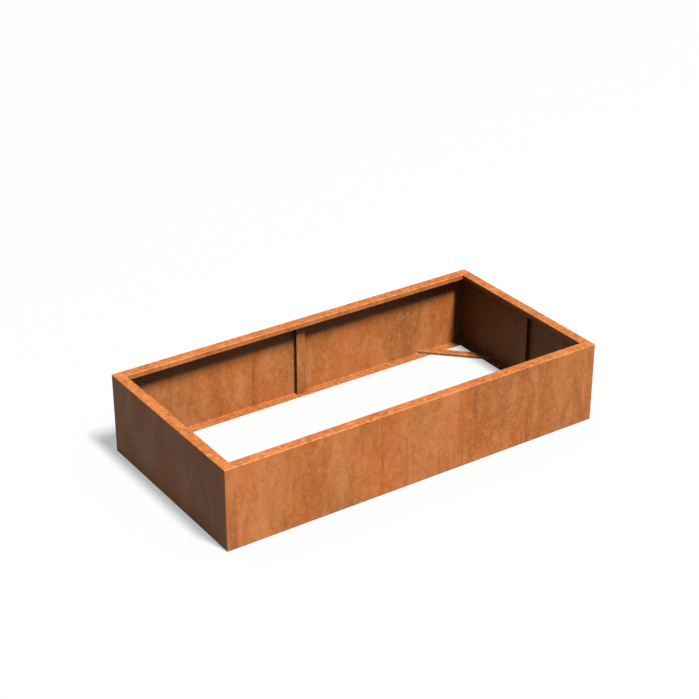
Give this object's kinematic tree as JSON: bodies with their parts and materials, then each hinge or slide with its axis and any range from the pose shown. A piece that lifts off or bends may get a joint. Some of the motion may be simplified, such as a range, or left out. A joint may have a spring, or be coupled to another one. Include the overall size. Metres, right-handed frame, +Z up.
{
  "type": "planter box",
  "caption": "Low rectangular planter box of folded weathering steel, open at top and bottom, with an inturned rim, wall ribs and corner braces.",
  "frame": {"origin": "on the ground at the centre of the rectangular footprint", "axes": "+X along the length, +Y towards the back long wall, +Z up"},
  "size_m": [2, 1, 0.4],
  "materials": {
    "wall_steel": "weathering steel with a matt orange-brown rust patina",
    "rib_steel": "weathering steel with a matt orange-brown rust patina",
    "brace_steel": "weathering steel with a matt orange-brown rust patina",
    "weld_metal": "weld beads, darker and a little smoother than the sheet"
  },
  "bodies": {
    "root": {"back_wall": "wall_steel", "front_wall": "wall_steel", "left_wall": "wall_steel", "right_wall": "wall_steel", "back_rib": "rib_steel", "front_rib": "rib_steel", "left_rib": "rib_steel", "right_rib": "rib_steel", "back_left_brace": "brace_steel", "back_right_brace": "brace_steel", "front_left_brace": "brace_steel", "front_right_brace": "brace_steel", "back_left_brace_weld_a": "weld_metal", "back_left_brace_weld_b": "weld_metal", "back_left_corner_weld": "weld_metal", "back_left_flange_weld": "weld_metal", "back_left_rim_weld": "weld_metal", "back_rib_weld_left_lower": "weld_metal", "back_rib_weld_left_upper": "weld_metal", "back_rib_weld_right_lower": "weld_metal", "back_rib_weld_right_upper": "weld_metal", "back_right_brace_weld_a": "weld_metal", "back_right_brace_weld_b": "weld_metal", "back_right_corner_weld": "weld_metal", "back_right_flange_weld": "weld_metal", "back_right_rim_weld": "weld_metal", "front_left_brace_weld_a": "weld_metal", "front_left_brace_weld_b": "weld_metal", "front_left_corner_weld": "weld_metal", "front_left_flange_weld": "weld_metal", "front_left_rim_weld": "weld_metal", "front_rib_weld_left_lower": "weld_metal", "front_rib_weld_left_upper": "weld_metal", "front_rib_weld_right_lower": "weld_metal", "front_rib_weld_right_upper": "weld_metal", "front_right_brace_weld_a": "weld_metal", "front_right_brace_weld_b": "weld_metal", "front_right_corner_weld": "weld_metal", "front_right_flange_weld": "weld_metal", "front_right_rim_weld": "weld_metal", "left_rib_weld_left_lower": "weld_metal", "left_rib_weld_left_upper": "weld_metal", "left_rib_weld_right_lower": "weld_metal", "left_rib_weld_right_upper": "weld_metal", "right_rib_weld_left_lower": "weld_metal", "right_rib_weld_left_upper": "weld_metal", "right_rib_weld_right_lower": "weld_metal", "right_rib_weld_right_upper": "weld_metal"}
  },
  "joints": []
}
